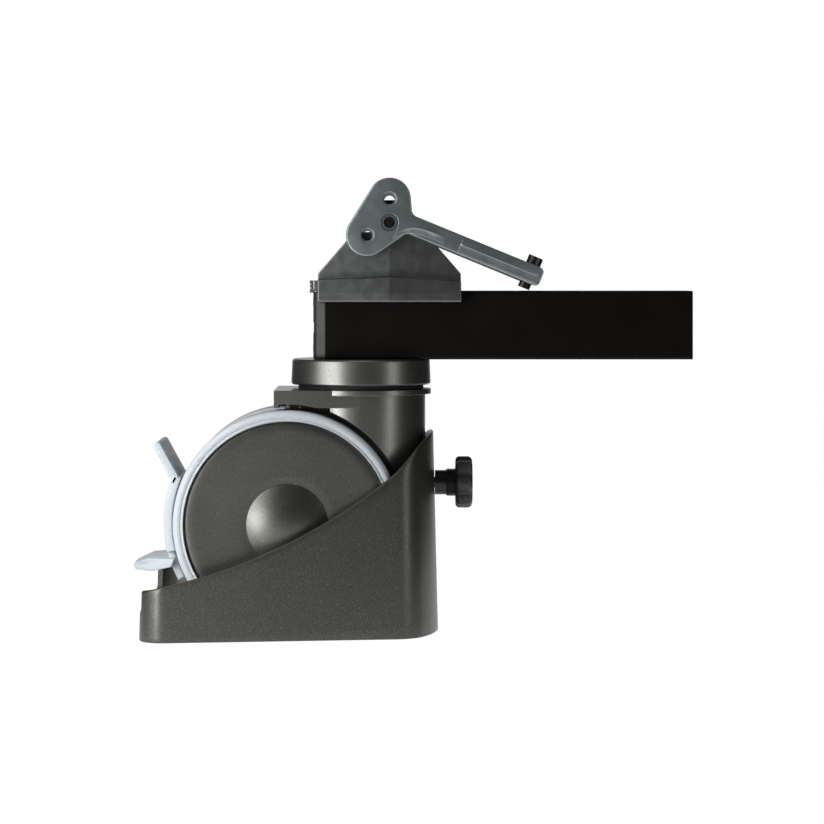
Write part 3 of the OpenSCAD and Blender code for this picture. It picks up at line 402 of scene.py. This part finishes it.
def finish_piece(thing, body, slot, replaced=(), angle=32, finish=None):
    """Gives a piece its material, its body and the CAD nodes it stands for."""
    thing.data.materials.clear()
    thing.data.materials.append(finishes[finish or slot])
    smooth(thing, angle)
    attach(thing, body)
    if replaced:
        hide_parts(*replaced)
    return thing


def loft(name, rings, closed=False):
    """A skin through rings that have the same number of points. closed joins the last ring to the first."""
    count = len(rings[0])
    points = [p for ring in rings for p in ring]
    faces = []
    for j in range(len(rings) if closed else len(rings) - 1):
        k = (j + 1) % len(rings)
        for i in range(count):
            n = (i + 1) % count
            faces.append((j * count + i, j * count + n, k * count + n, k * count + i))
    if not closed:
        faces.append(tuple(reversed(range(count))))
        faces.append(tuple(range(len(points) - count, len(points))))
    thing = make_mesh(name, points, faces)
    face_outward(thing)
    return thing


def face_outward(thing):
    """Welds points that meet and turns every face outward."""
    body = bmesh.new()
    body.from_mesh(thing.data)
    bmesh.ops.remove_doubles(body, verts=body.verts, dist=1e-7)
    bmesh.ops.recalc_face_normals(body, faces=body.faces)
    body.to_mesh(thing.data)
    body.free()


def slab(name, outline, y_from, y_to, edge, steps=3, place=None):
    """A side-view outline given a width across the station, its rims rounded by edge."""
    body = bmesh.new()
    front = [body.verts.new((x, y_from, z)) for x, z in outline]
    back = [body.verts.new((x, y_to, z)) for x, z in outline]
    caps = [body.faces.new(front), body.faces.new(list(reversed(back)))]
    for i in range(len(outline)):
        n = (i + 1) % len(outline)
        body.faces.new((front[i], back[i], back[n], front[n]))
    bmesh.ops.recalc_face_normals(body, faces=body.faces)
    if edge:
        rims = list({e for cap in caps for e in cap.edges})
        bmesh.ops.bevel(body, geom=rims, offset=edge, offset_type="OFFSET", segments=steps, profile=0.5,
                        affect="EDGES", clamp_overlap=False)
    move = place or (lambda p: at(*p))
    for vert in body.verts:
        vert.co = move(tuple(vert.co))
    mesh = bpy.data.meshes.new(name)
    body.to_mesh(mesh)
    body.free()
    thing = bpy.data.objects.new(name, mesh)
    scene.collection.objects.link(thing)
    return thing


def join(name, things):
    """Puts several meshes into one object."""
    body = bmesh.new()
    for thing in things:
        body.from_mesh(thing.data)
        bpy.data.objects.remove(thing)
    mesh = bpy.data.meshes.new(name)
    body.to_mesh(mesh)
    body.free()
    joined = bpy.data.objects.new(name, mesh)
    scene.collection.objects.link(joined)
    return joined


def carve(thing, cutter):
    """Cuts one mesh out of another and drops the cutter."""
    cut = thing.modifiers.new("cut", "BOOLEAN")
    cut.operation = "DIFFERENCE"
    cut.object = cutter
    cut.solver = "EXACT"
    graph = bpy.context.evaluated_depsgraph_get()
    mesh = bpy.data.meshes.new_from_object(thing.evaluated_get(graph))
    thing.modifiers.remove(cut)
    thing.data = mesh
    bpy.data.objects.remove(cutter)


def turned(name, centre, axis, profile, sides=96, closed=False):
    """A turned form about an axis x or y: profile is (distance along the axis, radius) pairs."""
    cx, cy, cz = centre
    rings = []
    for along, r in profile:
        ring = []
        for i in range(sides):
            a = 2 * math.pi * i / sides
            u, v = max(r, 1e-4) * math.cos(a), max(r, 1e-4) * math.sin(a)
            if axis == "x":
                ring.append(at(cx + along, cy + u, cz + v))
            else:
                ring.append(at(cx + u, cy + along, cz + v))
        rings.append(ring)
    return loft(name, rings, closed)


# Cable guard: where its two ends lie, how high its rim is there, and how far out its sides reach
GUARD_NEAR, GUARD_FAR = 43.2, -120.1
RIM_HIGH, RIM_LOW = 112.6, 28.3
GUARD_HALF_NEAR, GUARD_HALF_FAR = 47.0, 63.5


def guard_plan():
    """Stations round the guard's plan: circle centre, radius and outward angle in degrees."""
    near_r, turn_r, corner_r = 80.0, 20.0, 13.0
    near_c = (GUARD_NEAR - near_r, 0.0)
    turn_y = GUARD_HALF_NEAR - turn_r
    turn_c = (near_c[0] + math.sqrt((near_r - turn_r) ** 2 - turn_y ** 2), turn_y)
    turn_from = math.degrees(math.asin(turn_y / (near_r - turn_r)))
    corner_c = (GUARD_FAR + corner_r, GUARD_HALF_FAR - corner_r)
    way = (corner_c[0] - turn_c[0], corner_c[1] - turn_c[1])
    side = math.degrees(math.atan2(way[1], way[0]) - math.acos((turn_r - corner_r) / math.hypot(*way)))
    half = [(near_c, near_r, turn_from * i / 14) for i in range(15)]
    half += [(turn_c, turn_r, turn_from + (side - turn_from) * i / 18) for i in range(1, 19)]
    for i in range(1, 49):
        f = i / 48
        centre = (turn_c[0] + way[0] * f, turn_c[1] + way[1] * f)
        half.append((centre, turn_r + (corner_r - turn_r) * f, side))
    half += [(corner_c, corner_r, side + (180 - side) * i / 18) for i in range(1, 19)]
    mirrored = [((c[0], -c[1]), r, -a) for c, r, a in reversed(half[1:])]
    return half + mirrored


def rim_height(x):
    """The sweeping rim is an arc in side view through both its ends."""
    r, a, b = 296.0, (GUARD_FAR, RIM_LOW), (GUARD_NEAR, RIM_HIGH)
    dx, dz = b[0] - a[0], b[1] - a[1]
    span = math.hypot(dx, dz)
    h = math.sqrt(r * r - span * span / 4)
    cx, cz = (a[0] + b[0]) / 2 - dz / span * h, (a[1] + b[1]) / 2 + dx / span * h
    return cz - math.sqrt(r * r - (x - cx) ** 2)


def make_guard():
    """A drafted skirt lofted round the plan, with the slot for the knob's stud and the far end's gate."""
    wall, draft, low, foot_r = 2.6, math.tan(math.radians(1.4)), 0.7, 0.9
    # The wall's section: share of the height, inset from the outer face, and how far below the rim
    # or, as a negative number, above the floor's edge that point lies
    profile = []
    for i in range(5):
        a = math.radians(22.5 * i)
        profile.append((0.0, foot_r - foot_r * math.sin(a), -foot_r * (1 - math.cos(a))))
    profile += [(share, 0.0, 0.0) for share in (0.08, 0.2, 0.35, 0.5, 0.65, 0.8, 0.92)]
    for i in range(10):
        a = math.radians(20 * i)
        profile.append((1.0, wall / 2 * (1 - math.cos(a)), wall / 2 * (1 - math.sin(a))))
    profile += [(share, wall, 0.0) for share in (0.92, 0.75, 0.5, 0.25, 0.08)]
    profile += [(0.0, wall, -0.4), (0.0, wall - 0.4, 0.0)]
    plan = guard_plan()
    rings = []
    for share, inset, drop in profile:
        ring = []
        for (cx, cy), r, angle in plan:
            a = math.radians(angle)
            top = rim_height(cx + r * math.cos(a)) - max(drop, 0.0)
            z = low + share * (top - low) + max(-drop, 0.0)
            reach = r - inset - z * draft
            ring.append(at(cx + reach * math.cos(a), cy + reach * math.sin(a), z))
        rings.append(ring)
    guard = loft("guard_skirt", rings, closed=True)
    slot_half, slot_up, slot_down = 3.3, 0.5, 3.0
    outline = arc(0, KNOB_Z + slot_up, slot_half, 0, 180, 16)
    outline += arc(0, KNOB_Z - slot_down, slot_half, 180, 360, 16)
    cutter = slab("slot_cutter", outline, 34, 50, 0, place=lambda p: at(p[1], p[0], p[2]))
    face_outward(cutter)
    carve(guard, cutter)
    half, low_z, high_z, r = 55.7, 16.0, 60.0, 4.0
    outline = [(half, high_z), (-half, high_z)] + arc(-half + r, low_z + r, r, 180, 270, 8)
    outline += arc(half - r, low_z + r, r, 270, 360, 8)
    cutter = slab("gate_cutter", outline, -124, -114.8, 0, place=lambda p: at(p[1], p[0], p[2]))
    face_outward(cutter)
    carve(guard, cutter)
    # The guard is shown in the darker copy of the fleck paint, which is painted shade, not its own slot's
    # paint.
    return finish_piece(guard, "guard", "fleck_paint", ["cable_guard"], 40, finish="shaded_guard_paint")


make_guard()


def make_clamp_body():
    """The cast saddle: five sections along the arm, with a ridge down the middle of each side."""
    mid, half_l, turn = PIVOT[0], 39.65, math.tan(math.radians(5))
    low, band_top, arm_top, top = 184.0, 189.3, 190.3, 223.0
    inner, face_half, band_half, rounding = 19.1, 20.3, 29.0, 0.55
    end_l, shoulder = 20.08, 199.9
    places = [mid - half_l, mid - half_l + end_l, mid, mid + half_l - end_l, mid + half_l]
    shelf = [196.0, 196.6, 197.4, 196.4, 195.2]
    crowns = [shoulder, top, top, top, shoulder]
    sections = []
    for x, s, crown in zip(places, shelf, crowns):
        pull = abs(x - mid) * turn
        out, upper = band_half - pull, face_half - pull
        right = [(inner, arm_top), (inner, low), (out - 0.6, low), (out, low + 0.6), (out, band_top),
                 (out - 1.5, s), (out - 1.9, s + 0.5), (upper + 0.6, s + 0.9), (upper, s + 1.6),
                 (upper, crown)]
        left = [(-y, z) for y, z in reversed(right)]
        sections.append([(x, y, z) for y, z in right + left])
    body = bmesh.new()
    grid = [[body.verts.new(p) for p in section] for section in sections]
    count = len(grid[0])
    for a, b in zip(grid, grid[1:]):
        for i in range(count):
            n = (i + 1) % count
            body.faces.new((a[i], a[n], b[n], b[i]))
    for section in (grid[0], grid[-1]):
        body.faces.new(section)
    bmesh.ops.recalc_face_normals(body, faces=body.faces)
    hard = [e for e in body.edges if len(e.link_faces) == 2 and e.calc_face_angle(0) > math.radians(35)]
    bmesh.ops.bevel(body, geom=hard, offset=rounding, offset_type="OFFSET", segments=3, profile=0.5,
                    affect="EDGES")
    for vert in body.verts:
        vert.co = at(*vert.co)
    mesh = bpy.data.meshes.new("clamp_saddle")
    body.to_mesh(mesh)
    body.free()
    saddle = bpy.data.objects.new("clamp_saddle", mesh)
    scene.collection.objects.link(saddle)
    well_l, well_floor, well_half = 9.1, 215, 15.9
    from_x, to_x, over = mid - well_l, mid + well_l, top + 3
    box = [(from_x, well_floor), (to_x, well_floor), (to_x, over), (from_x, over)]
    well = slab("well", box, -well_half, well_half, 0)
    face_outward(well)
    carve(saddle, well)
    return finish_piece(saddle, "arm", "grey_casting", ["clamp_body"], 8)


make_clamp_body()


# The photograph shows the hook paler than the end plate that it belongs to.
nodes["plate_hook"].data.materials[0] = finishes["satin_grey"]


def make_plate_screws():
    """Four screws whose heads lie almost flush in the end plate."""
    spread, head_x = 12.92, -26.48
    profile = [(0.17, 1.1), (0.03, 1.25), (0.0, 2.3), (0.1, 2.5), (0.17, 2.5)]
    heads = []
    for y in (-spread, spread):
        for z in (-spread, spread):
            heads.append(turned("head", (head_x, y, ARM_MID + z), "x", profile, 32, True))
    screws = join("plate_screws", heads)
    return finish_piece(screws, "arm", "zinc_screws", ["end_plate_screws"], 30, "dark_plate")


make_plate_screws()


def make_cover(side, body, node):
    """The satin disc of a wheel: slightly dished, with a narrow bevel round its edge."""
    rim, dish, seat, bore, outer_y = 53.0, 1.5, 22.6, 16.5, 40.0
    face = [(-1.4, bore), (-1.4, seat)]
    for step in range(1, 13):
        r = seat + (rim - seat) * step / 12
        face.append((-dish * (1 - (r / rim) ** 2), r))
    bevel = [(-0.1, 54.7), (-0.14, 55.1), (-0.55, 55.8), (-1.1, 56.2), (-2.1, 56.2), (-2.4, 56.0)]
    face += bevel + [(-2.4, bore)]
    profile = [(side * (outer_y + y), r) for y, r in face]
    cover = turned(body + "_disc", (AXLE_X, 0, AXLE_Z), "y", profile, 128, True)
    return finish_piece(cover, body, "satin_cover", [node], 20)


make_cover(-1, "front_wheel", "front_cover")
make_cover(1, "rear_wheel", "rear_cover")


# Clamp lever: the handle's slope below the level and the radius of its two lobes
SLOPE = 22.3
LOBE = 11.7


def along(s, t):
    """A point of the handle: s along it from the pivot, t across it."""
    a = math.radians(SLOPE)
    return (s * math.cos(a) + t * math.sin(a), -s * math.sin(a) + t * math.cos(a))


def lever_point(x, y, z):
    """A point given from the lever's pivot."""
    return at(x + PIVOT[0], y, z + PIVOT[1])


def fillet_centre(lobe, angle, r, t):
    """Centre of the fillet between the line that leaves a lobe at an angle and the handle's line at t."""
    a, turn = math.radians(angle), math.radians(SLOPE + angle)
    pull = LOBE + r + lobe[0] * math.cos(a) + lobe[1] * math.sin(a) - t * math.sin(turn)
    return along(pull / math.cos(turn), t)


def crest(name, path, side, up, down, base, proud):
    """A low ridge on the outer face of a side plate. path is (along, across, share of the height)."""
    rings = []
    for s, t, lift in path:
        high = base + proud * lift
        section = [(t + up, base), (t + 0.45, high), (t + 0.1, high + 0.28 * lift), (t - 0.25, high),
                   (t - down, base), (t, base - 0.8)]
        ring = []
        for across, y in section:
            x, z = along(s, across)
            ring.append(lever_point(x, side * y, z))
        rings.append(ring)
    return loft(name, rings)


def make_lever():
    """Two side plates with round lobes and a keeled handle, joined by a web under the handle."""
    top, low = (0.1, 13.0), (-12.4, -7.1)
    upper, depth, end, tip = 8.6, 10.6, 89.3, 2.6
    under, neck, heel, cheek, belly = upper - depth, 4.5, 3.0, 5, -55
    keel = under + depth * 0.53
    left = math.degrees(math.atan2(top[1] - low[1], top[0] - low[0])) + 90
    outline = arc(*top, LOBE, left, cheek, 44)
    outline += arc(*fillet_centre(top, cheek, neck, upper + neck), neck, 180 + cheek, 270 - SLOPE, 12)
    outline += arc(*along(end - tip, upper - tip), tip, 90 - SLOPE, -SLOPE, 8)
    outline += arc(*along(end - tip, under + tip), tip, -SLOPE, -90 - SLOPE, 8)
    outline += arc(*fillet_centre(low, belly, heel, under - heel), heel, 90 - SLOPE, 180 + belly, 10)
    outline += arc(*low, LOBE, belly, -360 + left, 44)
    plain_bore = [(20, 0), (20, 3.0), (25.0, 3.0), (26.05, 4.05), (27.5, 4.05), (27.5, 0)]
    pivot_bore = [(20, 0), (20, 4.5), (25.3, 4.5), (26.1, 5.1), (27.5, 5.1), (27.5, 0)]
    bores = [(top, plain_bore), (low, plain_bore), ((0, 0), pivot_bore)]
    keel_lift = ((41.0, 0.2), (42.2, 1.0), (60.0, 1.0), (85.8, 1.0), (87.2, 0.3))
    keel_path = [(s, keel, lift) for s, lift in keel_lift]
    root_path = [(5.5, -4.2, 0.0), (10.0, 0.2, 0.7), (13.5, 2.2, 0.9), (18.5, 3.4, 1.0), (24.0, 3.7, 0.9),
                 (32.0, 3.7, 0.0)]
    fork_in, fork_out, rim, sink = 21.0, 26.0, 0.9, 0.1
    parts = []
    for side in (-1, 1):
        plate = slab("plate", outline, side * fork_in, side * fork_out, rim, 4, lambda p: lever_point(*p))
        for (x, z), bore in bores:
            profile = [(side * y, r) for y, r in bore]
            carve(plate, turned("bore", (x + PIVOT[0], 0, z + PIVOT[1]), "y", profile, 48))
        parts.append(plate)
        base = fork_out - sink
        parts.append(crest("keel", keel_path, side, upper - keel - rim, keel - under - rim, base, 0.55))
        parts.append(crest("root_keel", root_path, side, 4.0, 3.4, base, 0.6))
    web_from, web_to, web_low, web_high, web_half = 34, end - 0.8, under + 2, under + 9, fork_in + 0.5
    corners = ((web_from, web_low), (web_to, web_low), (web_to, web_high), (web_from, web_high))
    web = [along(s, t) for s, t in corners]
    parts.append(slab("web", web, -web_half, web_half, 0.0, 1, lambda p: lever_point(*p)))
    lever = join("lever_casting", parts)
    return finish_piece(lever, "lever", "blue_grey_casting", ["lever_yoke"], 23.5)


make_lever()


def make_rocker():
    """Fender, release lever and pedal of the brake, as one smooth moulding."""
    ax, az = AXLE_X, AXLE_Z
    r_in, r_out = 63.5, 68.3
    half_w, skirt_half, boss_half = 28, 22, 5
    pin_x, pin_z = -88.0, 62.0
    # Degrees that the fender reaches over and under the axle, the release lever's lean and its length
    up, down, lean, length = 23, 28, math.radians(28), 21.5
    root_r, root_up = (r_in + r_out) / 2, math.radians(up - 2.2)
    rx, rz = ax - root_r * math.cos(root_up), az + root_r * math.sin(root_up)

    def lever_at(s, t):
        return (rx - math.sin(lean) * s + math.cos(lean) * t, rz + math.cos(lean) * s + math.sin(lean) * t)

    fender = arc(ax, az, r_out, 180 + 14, 180 - up, 30) + arc(ax, az, r_in, 180 - up, 180 + 14, 30)
    parts = [slab("fender", fender, -half_w, half_w, 1.0, 4)]
    half = 2.3
    blade = [lever_at(-1.5, -half), lever_at(4.0, -half), lever_at(length * 0.6, -half + 0.15)]
    blade += arc(*lever_at(length, 0), half - 0.3, 180 + math.degrees(lean), math.degrees(lean), 12)
    blade += [lever_at(length * 0.6, half - 0.15), lever_at(4.0, half), lever_at(1.2, half)]
    parts.append(slab("blade", blade, -half_w, half_w, 0.45, 3))
    skirt = arc(ax, az, r_out + 0.2, 180 + down, 180 + 8, 20) + arc(ax, az, r_in + 1, 180 + 8, 180 + down, 20)
    parts.append(slab("skirt", skirt, -skirt_half, skirt_half, 0.9, 3))
    pedal_reach, pedal_low, plan_r = 87.0, 19.7, 28.5
    tip, top = ax - pedal_reach, az - pedal_low
    plan_c = tip + plan_r

    def pedal_point(p):
        reach = max(plan_c - p[0], 0.0)
        share = math.sqrt(max(plan_r ** 2 - reach ** 2, 9.0)) / plan_r
        return at(p[0], p[1] * min(share, half_w / plan_r), p[2])

    def between(a, b, count):
        return [(a[0] + (b[0] - a[0]) * i / count, a[1] + (b[1] - a[1]) * i / count) for i in range(count)]

    corner = [(ax - 62.4, top), (tip + 10, top - 0.3), (tip + 1.5, top - 3.6), (tip, top - 5.3),
              (tip + 1.5, top - 7.5), (tip + 12, top - 7.3), (ax - 63.8, top - 4.5)]
    outline = []
    for a, b, count in zip(corner, corner[1:], (10, 8, 3, 3, 8, 10)):
        outline += between(a, b, count)
    outline.append(corner[-1])
    parts.append(slab("pedal", outline, -half_w, half_w, 0.5, 3, pedal_point))
    arm_r, arm_up, arm_down = 66.8, math.radians(12), math.radians(8)
    arm = arc(pin_x, pin_z, 7.6, -90, 90, 18)
    arm += [(ax - arm_r * math.cos(arm_up), az + arm_r * math.sin(arm_up)),
            (ax - arm_r * math.cos(arm_down), az - arm_r * math.sin(arm_down))]
    boss = slab("arm", arm, -boss_half, boss_half, 0.5, 2)
    face_outward(boss)
    cutter = turned("bore", (pin_x, 0, pin_z), "y", [(-8, 0), (-8, 3.05), (8, 3.05), (8, 0)], 48)
    carve(boss, cutter)
    parts.append(boss)
    rocker = join("brake_moulding", parts)
    return finish_piece(rocker, "brake", "brake_plastic", ["brake_rocker"], 32)


make_rocker()


def make_knob():
    """A lobed knob: its outline swells into seven lobes and its rims are rounded."""
    lobes, r_out, hollow = 7, 14.65, 1.9
    start, hub_r, hub_l, thick, edge, bore = 47.67, 7.6, 5.2, 9.4, 2.6, 3.1

    def outline(scale, depth, sides=210):
        ring = []
        for i in range(sides):
            a = 2 * math.pi * i / sides
            wave = abs(math.sin(a * lobes / 2)) ** 1.6
            ring.append(((r_out - depth * hollow * (1 - wave) ** 1.2 * 1.4) * scale, a))
        return ring

    def ring_at(x, scale, depth):
        return [at(start + x, r * math.cos(a), KNOB_Z + r * math.sin(a)) for r, a in outline(scale, depth)]

    def round_at(x, r):
        return [at(start + x, r * math.cos(a), KNOB_Z + r * math.sin(a)) for _, a in outline(1, 0)]

    rings = [round_at(0, bore), round_at(0, hub_r - 0.5), round_at(0.5, hub_r), round_at(hub_l - 0.4, hub_r),
             round_at(hub_l, hub_r + 0.4)]

    def rim_at(x, b):
        return ring_at(x, (r_out - edge + edge * math.sin(b)) / r_out, 0.6 + 0.4 * math.sin(b))

    turns = [math.radians(15 * i) for i in range(7)]
    rings += [rim_at(hub_l + edge * (1 - math.cos(b)) * 0.8, b) for b in turns]
    rings += [rim_at(hub_l + thick - edge * (1 - math.cos(b)), b) for b in reversed(turns)]
    face = hub_l + thick
    rings += [round_at(face, 7.6), round_at(face - 0.4, 7.2), round_at(face - 1.2, 6.6),
              round_at(face - 1.2, bore), round_at(hub_l + 5.0, bore)]
    knob = loft("lobed_knob", rings, closed=True)
    return finish_piece(knob, "knob", "knob_plastic", ["knob_handle"], 50)


make_knob()
